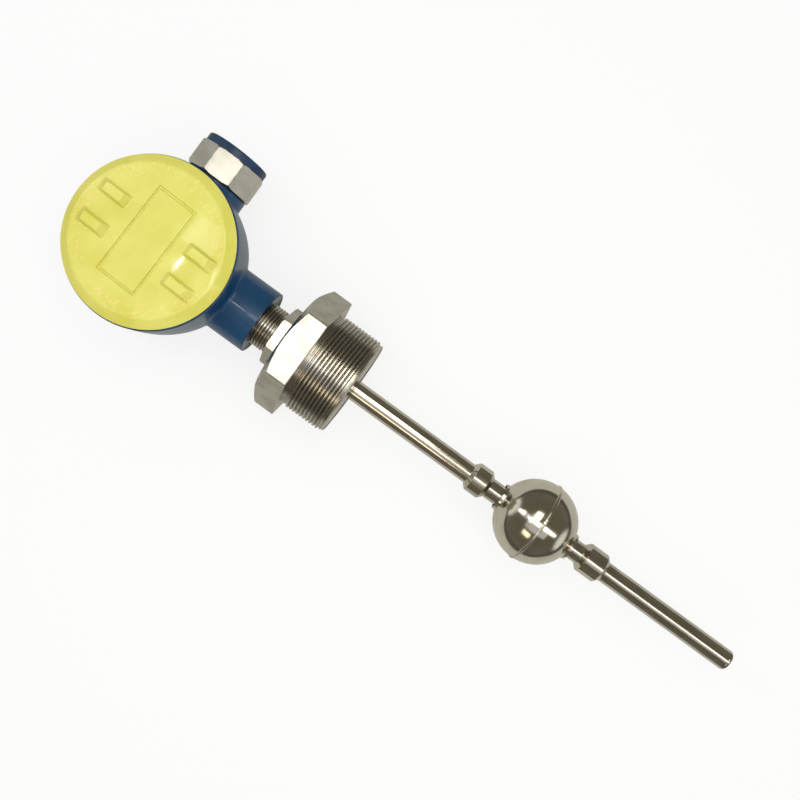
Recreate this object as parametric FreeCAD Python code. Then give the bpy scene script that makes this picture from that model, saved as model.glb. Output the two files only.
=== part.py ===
"""Float level switch: cast head with screwed cover, hex process connection, guide stem and ball float.

Units are millimetres. +Z runs up the stem towards the head and the stem hangs down to -Z. The origin is the
centre of the underside of the big process hex, where its pipe thread starts. The cover faces -Y and the cable
entry points to +X.
"""
import FreeCAD, Part
import math
import os

V = FreeCAD.Vector
ORIGIN = V(0, 0, 0)
X_AXIS = V(1, 0, 0)
Y_AXIS = V(0, 1, 0)
Z_AXIS = V(0, 0, 1)

# Process connection
hex_flats = 66.5
hex_height = 18.0
hex_chamfer_angle = 30.0
pipe_thread_diameter = 60.3
pipe_thread_length = 28.0
pipe_thread_chamfer = 2.0
stem_socket_depth = 3.0
hex_bevel_radius = 26.5
thread_pitch = 2.209
thread_depth = 1.25
thread_crest = 0.45
thread_rings = 11

# Nipple between the process connection and the head
nipple_thread_diameter = 26.4
nipple_hex_flats = 31.8
nipple_hex_height = 6.6
nipple_bevel_radius = 17.5
nipple_bore = 16.0
nipple_lower_engagement = 10.0
nipple_upper_engagement = 14.0
nipple_chamfer = 1.2
nipple_end_gap = 1.0

# Head casting
head_height = 101.1
drum_radius = 46.7
drum_straight = 10.5
drum_side_pull = 25.0
drum_back_radius = 30.0
drum_back_pull = 15.0
drum_back = 31.0
drum_mouth = 34.5
drum_mouth_round = 0.4
chamber_radius = 37.0
chamber_floor = 26.0
chamber_floor_round = 4.0
cover_thread_radius = 38.5
cover_thread_depth = 14.0
neck_radius = 19.5
neck_end = 34.5
neck_passage = 18.0
neck_chamfer = 0.4
neck_blend = 2.5
boss_radius = 18.7
boss_face = 47.9
boss_blend = 1.0
entry_thread_diameter = 25.0

# Cover
cover_radius = 46.0
cover_gap = 1.2
cover_rim = 1.3
cover_thickness = 5.0
cover_bevel_inner = 40.8
cover_edge_inset = 0.6
cover_edge_drop = 0.5
cover_spigot_length = 12.0
cover_spigot_wall = 4.0
cover_spigot_chamfer = 1.0
thread_clearance = 0.08
cover_turn = 1.7
lug_inner = 18.8
lug_outer = 36.8
lug_width = 7.4
lug_pitch = 18.9
lug_height = 4.5
lug_side_run = 1.2
lug_outer_run = 4.2
lug_inner_run = 3.2
lug_root = 0.5
lug_round = 0.8
panel_width = 23.0
panel_length = 52.6
panel_groove_width = 1.1
panel_groove_depth = 0.8
seal_section = 3.0
seal_radius = 40.6
seal_clearance = 0.05
seal_seat_gap = 0.02

# Cable entry
gasket_thickness = 0.8
gasket_inset = 0.8
adapter_flats = 38.2
adapter_height = 15.9
adapter_turn = 8.5
adapter_bore = 20.0
adapter_thread_length = 9.6
adapter_bevel = 0.8
adapter_bevel_reach = 1.2
adapter_thread_chamfer = 1.0
plug_radius = 19.0
plug_height = 4.7
plug_spigot = 5.0
plug_spigot_wall = 2.0
plug_spigot_clearance = 0.05
plug_round = 1.2
plug_dish_radius = 14.6
plug_dish_depth = 1.2

# Stem and stop collars
stem_diameter = 12.0
stem_wall = 1.0
stem_top = 6.0
stem_bottom = -289.5
end_plug_height = 2.5
end_plug_round = 1.8
end_plug_spigot = 4.0
collar_diameter = 17.8
collar_chamfer = 2.4
upper_collar_top = -109.5
upper_collar_length = 12.9
lower_collar_top = -186.7
lower_collar_length = 15.8
set_screw_diameter = 3.0
set_screw_recess = 0.2
set_screw_socket = 1.5
set_screw_socket_depth = 1.4

# Float
float_centre = -155.3
float_radius = 24.0
float_wall = 0.8
guide_bore = 14.4
guide_outer = 16.0
guide_half_length = 24.6
weld_bead_height = 0.8
weld_bead_half_width = 1.1
weld_bead_root = 0.4
weld_bead_steps = 8
magnet_diameter = 30.0
magnet_height = 10.0
magnet_clip_diameter = 22.0
magnet_clip_thickness = 0.6

# Switch inside the stem
glass_diameter = 2.6
glass_length = 14.0
blade_diameter = 0.6
blade_length = 9.0
glass_round = 0.6
carrier_face = 0.3
carrier_thickness = 1.2
carrier_length = 64.0
post_width = 1.6
post_height = 4.0
post_gap = 3.0
lead_gap = 4.0
lead_lap = 2.0
wire_diameter = 1.3
wire_offset = 1.9
wire_neck_bend = 12.0
wire_clamp_bend = 7.0
wire_bend_above_chamber = 4.0
wire_run_below_clamp = 9.0
potting_bottom = -12.0

# Terminals inside the head
terminal_pitch = 11.0
terminal_count = 3
terminal_width = 46.0
terminal_depth = 18.0
terminal_height = 13.0
terminal_round = 0.8
terminal_foot_length = 7.5
terminal_foot_depth = 10.0
terminal_foot_height = 3.0
terminal_foot_inset = 4.0
pocket_floor = 2.5
wire_way_radius = 1.6
clamp_width = 6.0
clamp_depth = 8.0
clamp_height = 7.0
wire_hole_drop = 1.0
screw_slot_width = 0.8
screw_slot_depth = 1.0
clamp_screw_radius = 1.5
clamp_screw_head_radius = 2.5
clamp_screw_head_height = 2.2
mount_screw_radius = 1.5
mount_screw_head_radius = 2.8
mount_screw_head_height = 2.0
mount_screw_depth = 3.0
mount_hole_depth = 3.5
earth_boss_place = (-21.0, -17.0)
earth_boss_radius = 5.0
earth_boss_height = 5.0
earth_screw_radius = 2.0
earth_screw_head_radius = 3.8
earth_screw_head_height = 2.6
earth_screw_tip = 0.5
earth_washer_radius = 4.5
earth_washer_thickness = 0.8
hole_clearance = 0.1

# Working values: how far a cutting tool runs past the solid, and how closely an edge is matched
overlap = 1.0
edge_tolerance = 0.01


def turned(points):
    """Solid of revolution about Z from a closed list of (radius, height) points."""
    outline = Part.makePolygon([V(r, 0, z) for r, z in points + points[:1]])
    return Part.Face(outline).revolve(ORIGIN, Z_AXIS, 360)


def cylinder(radius, low, high):
    return Part.makeCylinder(radius, high - low, V(0, 0, low))


def ring(outer, inner, low, high):
    return cylinder(outer, low, high).cut(cylinder(inner, low - overlap, high + overlap))


def block(width, depth, low, high):
    """Upright box, centred on Z."""
    return Part.makeBox(width, depth, high - low, V(-width / 2, -depth / 2, low))


def polygon_prism(sides, flats, low, high, turn):
    """Regular prism about Z; turn is the angle of one flat's normal from +X."""
    radius = flats / 2 / math.cos(math.pi / sides)
    angles = [math.radians(turn + 180.0 / sides) + 2 * math.pi * k / sides for k in range(sides + 1)]
    outline = Part.makePolygon([V(radius * math.cos(a), radius * math.sin(a), low) for a in angles])
    return Part.Face(outline).extrude(V(0, 0, high - low))


def moved(shape, x=0.0, y=0.0, z=0.0):
    shape = shape.copy()
    shape.translate(V(x, y, z))
    return shape


def in_head(shape):
    """Place a shape made with +Z outwards so that +Z faces the front of the head and its +Y points up."""
    shape = shape.copy()
    shape.rotate(ORIGIN, X_AXIS, 90)
    shape.translate(V(0, 0, head_height))
    return shape


def on_entry(shape):
    """Place a shape made with +Z outwards on the cable entry, which leaves the head along +X."""
    shape = shape.copy()
    shape.rotate(ORIGIN, Y_AXIS, 90)
    shape.translate(V(0, 0, head_height))
    return shape


def circle_edges(shape, radius, height):
    """Full circle edges about Z with the given radius at the given height."""
    found = []
    for edge in shape.Edges:
        curve = edge.Curve
        if isinstance(curve, Part.Circle) and abs(curve.Radius - radius) < edge_tolerance:
            if abs(curve.Center.z - height) < edge_tolerance:
                found.append(edge)
    return found


def top_edges(shape, height):
    return [edge for edge in shape.Edges if edge.BoundBox.ZMin > height - edge_tolerance]


def seam_edges(shape, radius, axis):
    """Edges where a round branch meets the drum: curved in space, at the branch radius from its axis."""
    found = []
    for edge in shape.Edges:
        if isinstance(edge.Curve, (Part.Circle, Part.Line)):
            continue
        place = edge.valueAt((edge.FirstParameter + edge.LastParameter) / 2)
        across = place.y, (place.x if axis == "z" else place.z - head_height)
        if abs(math.hypot(*across) - radius) < 5 * edge_tolerance:
            found.append(edge)
    return found


def drum_blank():
    """Solid drum: straight behind the mouth, then one smooth curve round to the flat of the back."""
    start = (drum_radius, drum_mouth - drum_straight)
    end = (drum_back_radius, -drum_back)
    side_pole = (drum_radius, start[1] - drum_side_pull)
    back_pole = (drum_back_radius + drum_back_pull, -drum_back)
    side = Part.BezierCurve()
    side.setPoles([V(r, 0, z) for r, z in (start, side_pole, back_pole, end)])
    corners = [end, (0, -drum_back), (0, drum_mouth), (drum_radius, drum_mouth), start]
    straight = Part.makePolygon([V(r, 0, z) for r, z in corners])
    return Part.Face(Part.Wire([side.toShape()] + straight.Edges)).revolve(ORIGIN, Z_AXIS, 360)


def housing():
    """Cast head: blind drum with a rounded back, the stem neck below and the cable boss at the side."""
    drum = drum_blank()
    drum = drum.makeFillet(drum_mouth_round, circle_edges(drum, drum_radius, drum_mouth))
    neck = cylinder(neck_radius, neck_end, head_height - chamber_radius / 2)
    neck = neck.makeChamfer(neck_chamfer, circle_edges(neck, neck_radius, neck_end))
    boss = on_entry(cylinder(boss_radius, chamber_radius / 2, boss_face))
    body = in_head(drum).fuse([neck, boss]).removeSplitter()
    body = body.makeFillet(neck_blend, seam_edges(body, neck_radius, "z"))
    body = body.makeFillet(boss_blend, seam_edges(body, boss_radius, "x"))

    chamber = cylinder(chamber_radius, -chamber_floor, drum_mouth + overlap)
    chamber = chamber.makeFillet(chamber_floor_round, circle_edges(chamber, chamber_radius, -chamber_floor))
    mouth = cylinder(cover_thread_radius, drum_mouth - cover_thread_depth, drum_mouth + overlap)
    body = body.cut([in_head(chamber), in_head(mouth)])

    nipple_depth = neck_end + nipple_upper_engagement + nipple_end_gap
    body = body.cut([
        cylinder(nipple_thread_diameter / 2, neck_end - overlap, nipple_depth),
        cylinder(neck_passage / 2, neck_end, head_height - chamber_radius / 2),
        on_entry(cylinder(entry_thread_diameter / 2, chamber_radius / 2, boss_face + overlap)),
    ])

    x, y = earth_boss_place
    boss_top = earth_boss_height - chamber_floor
    earth_boss = moved(cylinder(earth_boss_radius, -chamber_floor - overlap, boss_top), x, y)
    earth_hole = moved(cylinder(earth_screw_radius, -chamber_floor, boss_top + overlap), x, y)
    body = body.fuse(in_head(earth_boss)).cut(in_head(earth_hole))
    for side in (-1, 1):
        hole = cylinder(mount_screw_radius, -chamber_floor - mount_hole_depth, -chamber_floor + overlap)
        body = body.cut(in_head(moved(hole, side * terminal_mount_offset())))
    return body.removeSplitter()


def terminal_mount_offset():
    return terminal_width / 2 - terminal_foot_inset


def cover_underside():
    return drum_mouth + cover_gap


def cover_face():
    return cover_underside() + cover_thickness


def cover():
    """Screwed cover: bevelled disc with a threaded skirt, two pairs of lugs and a grooved panel."""
    under = cover_underside()
    face = cover_face()
    skirt_outer = cover_thread_radius - thread_clearance
    skirt_inner = skirt_outer - cover_spigot_wall
    skirt_end = drum_mouth - cover_spigot_length
    body = turned([
        (0, face), (cover_bevel_inner, face), (cover_radius - cover_edge_inset, under + cover_rim),
        (cover_radius, under + cover_rim - cover_edge_drop), (cover_radius, under), (skirt_outer, under),
        (skirt_outer, skirt_end + cover_spigot_chamfer), (skirt_outer - cover_spigot_chamfer, skirt_end),
        (skirt_inner, skirt_end),
        (skirt_inner, under), (0, under),
    ])
    groove_half = seal_section / 2 + seal_clearance
    groove_depth = seal_section - cover_gap + seal_clearance
    body = body.cut(ring(seal_radius + groove_half, seal_radius - groove_half, under - overlap,
                         under + groove_depth))
    body = body.cut(panel_groove(face))
    for side in (-1, 1):
        for place in (-lug_pitch / 2, lug_pitch / 2):
            body = body.fuse(lug(face, side, place))
    body.rotate(ORIGIN, Z_AXIS, -cover_turn)
    return in_head(body.removeSplitter())


def panel_groove(face):
    """Rectangular groove that frames the plain panel in the middle of the cover."""
    low = face - panel_groove_depth
    outer = block(panel_length + panel_groove_width, panel_width + panel_groove_width, low, face + overlap)
    inner = block(panel_length - panel_groove_width, panel_width - panel_groove_width, low - overlap,
                  face + 2 * overlap)
    return outer.cut(inner)


def lug(face, side, place):
    """Cast lug for a tightening bar: steep sides, sloping ends, softened top. Side says where its rim end faces."""
    foot = rectangle(lug_width / 2, lug_inner, lug_outer, face - lug_root)
    crown = rectangle(lug_width / 2 - lug_side_run, lug_inner + lug_inner_run, lug_outer - lug_outer_run,
                      face + lug_height)
    shape = Part.makeLoft([foot, crown], True, True)
    shape = shape.makeFillet(lug_round, top_edges(shape, face + lug_height))
    if side < 0:
        shape.rotate(ORIGIN, Z_AXIS, 180)
    return moved(shape, place)


def rectangle(half_width, near, far, height):
    corners = [(-1, near), (1, near), (1, far), (-1, far), (-1, near)]
    return Part.makePolygon([V(half_width * side, y, height) for side, y in corners])


def cover_seal():
    """O-ring in the groove under the cover, resting on the mouth of the drum."""
    centre = drum_mouth + seal_section / 2 + seal_seat_gap
    return in_head(Part.makeTorus(seal_radius, seal_section / 2, V(0, 0, centre)))


def entry_gasket():
    outer = boss_radius - gasket_inset
    return on_entry(ring(outer, entry_thread_diameter / 2, boss_face, adapter_base()))


def adapter_base():
    return boss_face + gasket_thickness


def adapter_top():
    return adapter_base() + adapter_height


def entry_adapter():
    """Octagonal entry fitting: male thread into the boss and a through bore for the cable."""
    base = adapter_base()
    top = adapter_top()
    body = polygon_prism(8, adapter_flats, base, top, 270.0 - adapter_turn)
    corner = adapter_flats / 2 / math.cos(math.pi / 8)
    body = body.common(turned([
        (0, base), (corner - adapter_bevel_reach, base), (corner, base + adapter_bevel),
        (corner, top - adapter_bevel), (corner - adapter_bevel_reach, top), (0, top),
    ]))
    thread_end = base - adapter_thread_length
    male = cylinder(entry_thread_diameter / 2, thread_end, base)
    male = male.makeChamfer(adapter_thread_chamfer, circle_edges(male, entry_thread_diameter / 2, thread_end))
    bore = cylinder(adapter_bore / 2, thread_end - overlap, top + overlap)
    return on_entry(body.fuse(male).cut(bore).removeSplitter())


def entry_cap():
    """Push-in protective plug: a round head with a softened edge and a dished face, and a short spigot."""
    seat = adapter_top()
    top = seat + plug_height
    head = cylinder(plug_radius, seat, top)
    head = head.makeFillet(plug_round, circle_edges(head, plug_radius, top))
    floor = top - plug_dish_depth
    reach = plug_dish_radius - plug_dish_depth
    dish = turned([(0, top), (plug_dish_radius, top), (reach, floor), (0, floor)])
    spigot_outer = adapter_bore / 2 - plug_spigot_clearance
    spigot = ring(spigot_outer, spigot_outer - plug_spigot_wall, seat - plug_spigot, seat)
    return on_entry(head.cut(dish).fuse(spigot).removeSplitter())


def hex_cone(flats, bevel_radius, low, high, top_only):
    """Revolved envelope that bevels the corners of a hexagon; the end face is round, of the given radius."""
    corner = flats / 2 / math.cos(math.pi / 6)
    drop = (corner - bevel_radius) * math.tan(math.radians(hex_chamfer_angle))
    points = [(0, low), (corner + overlap, low), (corner + overlap, high - drop)]
    if not top_only:
        points = [(0, low), (bevel_radius, low), (corner, low + drop)]
    return turned(points + [(corner, high - drop), (bevel_radius, high), (0, high)])


def hex_nipple():
    """Hexagon nipple with pipe threads at both ends and a bore for the leads."""
    low = hex_height
    high = hex_height + nipple_hex_height
    hexagon = polygon_prism(6, nipple_hex_flats, low, high, 90.0)
    body = hexagon.common(hex_cone(nipple_hex_flats, nipple_bevel_radius, low, high, False))
    radius = nipple_thread_diameter / 2
    bottom = low - nipple_lower_engagement
    top = neck_end + nipple_upper_engagement
    stem = turned([
        (0, bottom), (radius - nipple_chamfer, bottom), (radius, bottom + nipple_chamfer),
        (radius, top - nipple_chamfer), (radius - nipple_chamfer, top), (0, top),
    ])
    return body.fuse(stem).cut(cylinder(nipple_bore / 2, bottom - overlap, top + overlap)).removeSplitter()


def thread_profile():
    """Side of the pipe thread from the hexagon down: rings at the thread's pitch, with flat crests."""
    radius = pipe_thread_diameter / 2
    full = pipe_thread_length - pipe_thread_chamfer
    points = [(radius, 0)]
    for k in range(thread_rings, 0, -1):
        groove_top = k * thread_pitch - full
        groove_low = groove_top - thread_pitch + thread_crest
        middle = (groove_top + groove_low) / 2
        points += [(radius, groove_top), (radius - thread_depth, middle), (radius, groove_low)]
    return points + [(radius, -full), (radius - pipe_thread_chamfer, -pipe_thread_length)]


def process_bushing():
    """Hexagon plug with the tank's pipe thread, a socket for the nipple and the bore that holds the stem."""
    body = polygon_prism(6, hex_flats, 0, hex_height, 90.0)
    body = body.common(hex_cone(hex_flats, hex_bevel_radius, 0, hex_height, True))
    thread = turned([(0, 0)] + thread_profile() + [(0, -pipe_thread_length)])
    socket_floor = stem_top - stem_socket_depth
    return body.fuse(thread).cut([
        cylinder(nipple_thread_diameter / 2, socket_floor, hex_height + overlap),
        cylinder(stem_diameter / 2, -pipe_thread_length - overlap, socket_floor + overlap),
    ]).removeSplitter()


def stem_tube():
    radius = stem_diameter / 2
    return ring(radius, radius - stem_wall, stem_bottom + end_plug_height, stem_top)


def stem_end_plug():
    """Plug welded into the open end of the stem, with a rounded nose."""
    radius = stem_diameter / 2
    head = cylinder(radius, stem_bottom, stem_bottom + end_plug_height)
    head = head.makeFillet(end_plug_round, circle_edges(head, radius, stem_bottom))
    seat = stem_bottom + end_plug_height
    spigot = cylinder(radius - stem_wall, seat, seat + end_plug_spigot)
    return head.fuse(spigot).removeSplitter()


def stop_collar(top, length):
    """Stop collar: bevelled ring that slides on the stem, with a radial hole for its set screw."""
    inner = stem_diameter / 2
    outer = collar_diameter / 2
    bottom = top - length
    body = turned([
        (inner, top), (outer - collar_chamfer, top), (outer, top - collar_chamfer),
        (outer, bottom + collar_chamfer), (outer - collar_chamfer, bottom), (inner, bottom),
    ])
    hole = Part.makeCylinder(set_screw_diameter / 2, outer, V(0, 0, top - length / 2), Y_AXIS)
    return body.cut(hole)


def collar_set_screws():
    """Headless screws, one behind each collar, with a hexagon socket in the outer end."""
    outer = collar_diameter / 2 - set_screw_recess
    inner = stem_diameter / 2
    screws = []
    for top, length in collars():
        screw = cylinder(set_screw_diameter / 2, inner, outer)
        socket_floor = outer - set_screw_socket_depth
        screw = screw.cut(polygon_prism(6, set_screw_socket, socket_floor, outer + overlap, 0.0))
        screw.rotate(ORIGIN, X_AXIS, -90)
        screws.append(moved(screw, 0, 0, top - length / 2))
    return Part.makeCompound(screws)


def collars():
    return [(upper_collar_top, upper_collar_length), (lower_collar_top, lower_collar_length)]


def float_shell(sign):
    """One pressed half of the ball; sign 1 is the upper half."""
    outer = Part.makeSphere(float_radius)
    inner = Part.makeSphere(float_radius - float_wall)
    half = block(3 * float_radius, 3 * float_radius, 0, float_radius + overlap)
    if sign < 0:
        half = moved(half, 0, 0, -float_radius - overlap)
    shell = outer.cut(inner).common(half)
    shell = shell.cut(cylinder(guide_outer / 2, -float_radius - overlap, float_radius + overlap))
    return moved(shell, 0, 0, float_centre)


def float_weld_bead():
    """Raised seam weld round the equator of the ball."""
    root = float_radius - weld_bead_root
    outline = [V(root, 0, -weld_bead_half_width)]
    for k in range(weld_bead_steps + 1):
        angle = math.pi * (k / weld_bead_steps - 0.5)
        rise = weld_bead_height * math.cos(angle)
        outline.append(V(float_radius + rise, 0, weld_bead_half_width * math.sin(angle)))
    outline.append(V(root, 0, weld_bead_half_width))
    outline.append(outline[0])
    band = Part.Face(Part.makePolygon(outline)).revolve(ORIGIN, Z_AXIS, 360)
    return moved(band.cut(Part.makeSphere(float_radius)), 0, 0, float_centre)


def float_guide_tube():
    """Tube through the ball that runs on the stem; its ends stand a little proud of the poles."""
    tube = ring(guide_outer / 2, guide_bore / 2, -guide_half_length, guide_half_length)
    return moved(tube, 0, 0, float_centre)


def float_magnet():
    half = magnet_height / 2
    return moved(ring(magnet_diameter / 2, guide_outer / 2, -half, half), 0, 0, float_centre)


def float_magnet_clips():
    """Spring washers on the guide tube that hold the magnet at mid-height."""
    half = magnet_height / 2
    clips = []
    for low in (half, -half - magnet_clip_thickness):
        clip = ring(magnet_clip_diameter / 2, guide_outer / 2, low, low + magnet_clip_thickness)
        clips.append(moved(clip, 0, 0, float_centre))
    return Part.makeCompound(clips)


def glass_axis():
    return carrier_face - glass_diameter / 2


def reed_glass():
    """Sealed glass capsule of the reed switch, lying on its carrier strip."""
    half = glass_length / 2
    capsule = cylinder(glass_diameter / 2, -half, half)
    ends = circle_edges(capsule, glass_diameter / 2, half) + circle_edges(capsule, glass_diameter / 2, -half)
    return moved(capsule.makeFillet(glass_round, ends), 0, glass_axis(), float_centre)


def reed_blades():
    """The two leads of the reed switch, one out of each end of the glass."""
    half = glass_length / 2
    blades = []
    for low in (half, -half - blade_length):
        blade = cylinder(blade_diameter / 2, low, low + blade_length)
        blades.append(moved(blade, 0, glass_axis(), float_centre))
    return Part.makeCompound(blades)


def reed_carrier():
    """Insulating strip that fits across the stem's bore, with a lip at each end that holds the leads."""
    bore = stem_diameter / 2 - stem_wall
    back = carrier_face + carrier_thickness
    width = 2 * math.sqrt(bore ** 2 - back ** 2)
    half = carrier_length / 2
    strip = Part.makeBox(width, carrier_thickness, carrier_length, V(-width / 2, carrier_face, -half))
    post_depth = carrier_face - glass_axis() - blade_diameter / 2
    for low in (glass_length / 2 + post_gap, -glass_length / 2 - post_gap - post_height):
        corner = V(-post_width / 2, carrier_face - post_depth, low)
        strip = strip.fuse(Part.makeBox(post_width, post_depth, post_height, corner))
    return moved(strip.removeSplitter(), 0, 0, float_centre)


def rounded_path(points, radii):
    """Wire of straight runs joined by tangent arcs of the given radii."""
    edges = []
    start = points[0]
    for k in range(1, len(points) - 1):
        back = (points[k - 1] - points[k]).normalize()
        ahead = (points[k + 1] - points[k]).normalize()
        half_turn = back.getAngle(ahead) / 2
        reach = radii[k - 1] / math.tan(half_turn)
        first = points[k] + back * reach
        last = points[k] + ahead * reach
        inward = (back + ahead).normalize()
        centre = points[k] + inward * (radii[k - 1] / math.sin(half_turn))
        middle = centre - inward * radii[k - 1]
        edges.append(Part.LineSegment(start, first).toShape())
        edges.append(Part.Arc(first, middle, last).toShape())
        start = last
    edges.append(Part.LineSegment(start, points[-1]).toShape())
    return Part.Wire(edges)


def lead_wire(side, low):
    """Insulated lead from the switch strip up the stem and the neck to its terminal clamp."""
    depth = carrier_face - wire_diameter / 2
    clamp_x = side * terminal_pitch
    clamp_y = chamber_floor - clamp_centre()
    points = [
        V(side * wire_offset, depth, low),
        V(side * wire_offset, depth, head_height - chamber_radius + wire_bend_above_chamber),
        V(clamp_x, clamp_y, head_height - terminal_depth / 2 - wire_run_below_clamp),
        V(clamp_x, clamp_y, head_height - clamp_depth / 2),
    ]
    path = rounded_path(points, [wire_neck_bend, wire_clamp_bend])
    profile = Part.Wire([Part.makeCircle(wire_diameter / 2, points[0], Z_AXIS)])
    return path.makePipeShell([profile], True, False)


def stem_potting():
    """Cast resin that seals the leads into the top of the stem."""
    plug = cylinder(stem_diameter / 2 - stem_wall, potting_bottom, stem_top)
    depth = carrier_face - wire_diameter / 2
    for side in (-1, 1):
        plug = plug.cut(moved(cylinder(wire_diameter / 2, potting_bottom - overlap, stem_top + overlap),
                              side * wire_offset, depth))
    return plug


def clamp_places():
    middle = (terminal_count - 1) / 2
    return [(k - middle) * terminal_pitch for k in range(terminal_count)]


def clamp_centre():
    """Height of the wire holes above the chamber's floor."""
    return pocket_floor + clamp_height / 2 - wire_hole_drop


def terminal_base():
    """Moulded terminal strip: feet for two screws, one pocket for each clamp and a wire way through each."""
    body = block(terminal_width - 2 * terminal_foot_length, terminal_depth, 0, terminal_height)
    body = body.makeFillet(terminal_round, top_edges(body, terminal_height))
    body = body.fuse(block(terminal_width, terminal_foot_depth, 0, terminal_foot_height))
    for x in clamp_places():
        pocket = block(clamp_width, clamp_depth, pocket_floor, terminal_height + overlap)
        start = V(x, -terminal_depth / 2 - overlap, clamp_centre())
        way = Part.makeCylinder(wire_way_radius, terminal_depth + 2 * overlap, start, Y_AXIS)
        body = body.cut([moved(pocket, x), way])
    for side in (-1, 1):
        hole = cylinder(mount_screw_radius + hole_clearance, -overlap, terminal_foot_height + overlap)
        body = body.cut(moved(hole, side * terminal_mount_offset()))
    return on_floor(body)


def on_floor(shape):
    return in_head(moved(shape, 0, 0, -chamber_floor))


def terminal_clamps():
    """Plated cage clamps, each with a wire hole and a tapped hole for its screw."""
    clamps = []
    top = pocket_floor + clamp_height
    for x in clamp_places():
        start = V(x, -clamp_depth / 2 - overlap, clamp_centre())
        way = Part.makeCylinder(wire_diameter / 2, clamp_depth + 2 * overlap, start, Y_AXIS)
        thread = moved(cylinder(clamp_screw_radius, clamp_centre(), top + overlap), x)
        cage = moved(block(clamp_width, clamp_depth, pocket_floor, top), x)
        clamps.append(on_floor(cage.cut([way, thread])))
    return Part.makeCompound(clamps)


def slotted_screw(shank_radius, head_radius, head_thickness, tip, seat):
    """Cheese-head screw standing on Z, with its seat at the given height and a driver slot."""
    top = seat + head_thickness
    screw = cylinder(shank_radius, tip, seat).fuse(cylinder(head_radius, seat, top))
    slot = block(screw_slot_width, 3 * head_radius, top - screw_slot_depth, top + overlap)
    return screw.cut(slot).removeSplitter()


def terminal_screws():
    screw = slotted_screw(clamp_screw_radius, clamp_screw_head_radius, clamp_screw_head_height,
                          clamp_centre() + wire_diameter / 2, pocket_floor + clamp_height)
    return Part.makeCompound([on_floor(moved(screw, x)) for x in clamp_places()])


def terminal_mount_screws():
    screw = slotted_screw(mount_screw_radius, mount_screw_head_radius, mount_screw_head_height,
                          -mount_screw_depth, terminal_foot_height)
    places = [side * terminal_mount_offset() for side in (-1, 1)]
    return Part.makeCompound([on_floor(moved(screw, x)) for x in places])


def earth_washer():
    x, y = earth_boss_place
    bore = earth_screw_radius + hole_clearance
    washer = ring(earth_washer_radius, bore, earth_boss_height, earth_boss_height + earth_washer_thickness)
    return on_floor(moved(washer, x, y))


def earth_screw():
    x, y = earth_boss_place
    screw = slotted_screw(earth_screw_radius, earth_screw_head_radius, earth_screw_head_height,
                          earth_screw_tip, earth_boss_height + earth_washer_thickness)
    return on_floor(moved(screw, x, y))


def nodes():
    upper, lower = collars()
    left_end = float_centre + glass_length / 2 + lead_gap
    right_end = float_centre - glass_length / 2 - lead_gap - lead_lap
    return {
        "housing": housing(),
        "cover": cover(),
        "cover_seal": cover_seal(),
        "entry_gasket": entry_gasket(),
        "entry_adapter": entry_adapter(),
        "entry_cap": entry_cap(),
        "hex_nipple": hex_nipple(),
        "process_bushing": process_bushing(),
        "stem_tube": stem_tube(),
        "stem_end_plug": stem_end_plug(),
        "upper_stop_collar": stop_collar(*upper),
        "lower_stop_collar": stop_collar(*lower),
        "collar_set_screws": collar_set_screws(),
        "float_upper_shell": float_shell(1),
        "float_lower_shell": float_shell(-1),
        "float_weld_bead": float_weld_bead(),
        "float_guide_tube": float_guide_tube(),
        "float_magnet": float_magnet(),
        "float_magnet_clips": float_magnet_clips(),
        "reed_glass": reed_glass(),
        "reed_blades": reed_blades(),
        "reed_carrier": reed_carrier(),
        "lead_wire_left": lead_wire(-1, left_end),
        "lead_wire_right": lead_wire(1, right_end),
        "stem_potting": stem_potting(),
        "terminal_base": terminal_base(),
        "terminal_clamps": terminal_clamps(),
        "terminal_screws": terminal_screws(),
        "terminal_mount_screws": terminal_mount_screws(),
        "earth_washer": earth_washer(),
        "earth_screw": earth_screw(),
    }


os.makedirs("parts", exist_ok=True)
for name, shape in nodes().items():
    valid = shape.isValid() and all(solid.isClosed() for solid in shape.Solids)
    print(name, "solids", len(shape.Solids), "volume", round(shape.Volume, 1), "valid", valid)
    shape.exportStep("parts/" + name + ".step")
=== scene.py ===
import math
import bmesh
import bpy
from mathutils import Matrix, Vector


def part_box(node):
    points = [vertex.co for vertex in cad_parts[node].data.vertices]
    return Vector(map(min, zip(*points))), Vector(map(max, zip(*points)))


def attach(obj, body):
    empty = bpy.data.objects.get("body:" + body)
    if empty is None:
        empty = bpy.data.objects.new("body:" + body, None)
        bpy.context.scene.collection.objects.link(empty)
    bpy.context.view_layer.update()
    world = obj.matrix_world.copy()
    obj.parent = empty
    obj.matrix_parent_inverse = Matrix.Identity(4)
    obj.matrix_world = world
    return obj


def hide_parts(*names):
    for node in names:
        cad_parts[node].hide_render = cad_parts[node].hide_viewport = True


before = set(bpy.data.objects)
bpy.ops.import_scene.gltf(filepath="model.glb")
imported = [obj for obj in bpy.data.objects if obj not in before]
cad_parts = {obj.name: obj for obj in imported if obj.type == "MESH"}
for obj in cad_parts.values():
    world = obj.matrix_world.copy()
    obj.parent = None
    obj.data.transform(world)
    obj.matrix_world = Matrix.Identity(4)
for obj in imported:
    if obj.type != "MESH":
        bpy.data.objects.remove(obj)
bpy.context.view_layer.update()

scene = bpy.context.scene
mm = 0.001    # outlines are drawn in millimetres and scaled once, when a piece is settled
print("stage: frame loaded,", len(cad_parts), "nodes")


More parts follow.
